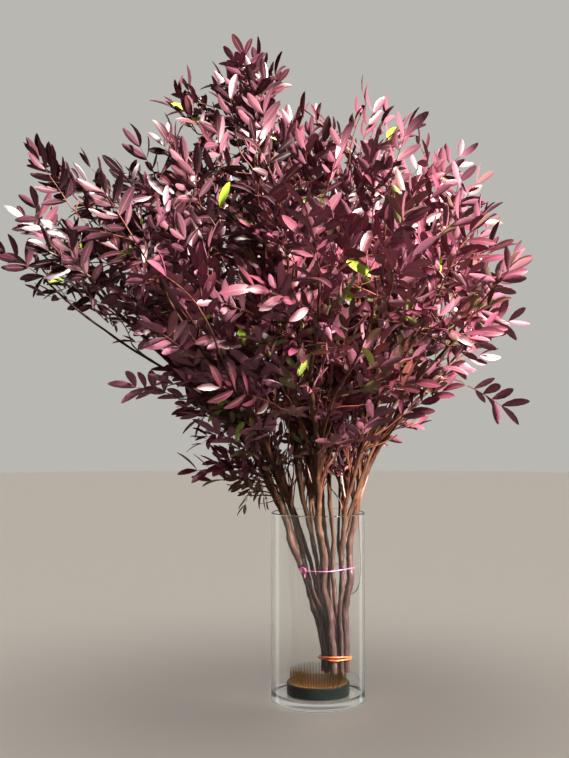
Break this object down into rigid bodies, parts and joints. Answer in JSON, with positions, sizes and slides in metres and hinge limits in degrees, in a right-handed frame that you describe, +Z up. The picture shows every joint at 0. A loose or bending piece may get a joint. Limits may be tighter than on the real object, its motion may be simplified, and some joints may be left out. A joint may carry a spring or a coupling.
{
  "type": "preserved pistachio branches in a glass vase",
  "caption": "Preserved pistachio branches with dark red pinnate leaves, gathered on a pinned flower frog inside a clear glass cylinder vase.",
  "frame": {"origin": "centre of the vase's flat foot, on the surface it stands on", "axes": "+Z up along the vase, -Y towards the viewer of the picture, +X to the viewer's right"},
  "size_m": [0.866, 0.7561, 1.0625],
  "materials": {
    "glass": "clear, smooth",
    "frog_rubber": "matte",
    "frog_metal": "cast, dull",
    "brass": "aged",
    "elastic": "satin",
    "string": "matte",
    "branch": "leaves satin, bark matte"
  },
  "bodies": {
    "root": {"vase": "glass", "frog_ring": "frog_rubber", "frog_weight": "frog_metal", "frog_pins": "brass", "rubber_band": "elastic", "tie_string": "string", "branch_01": "branch", "branch_02": "branch", "branch_03": "branch", "branch_04": "branch", "branch_05": "branch", "branch_06": "branch", "branch_07": "branch", "branch_08": "branch", "branch_09": "branch", "branch_10": "branch", "branch_11": "branch", "branch_12": "branch"}
  },
  "joints": []
}
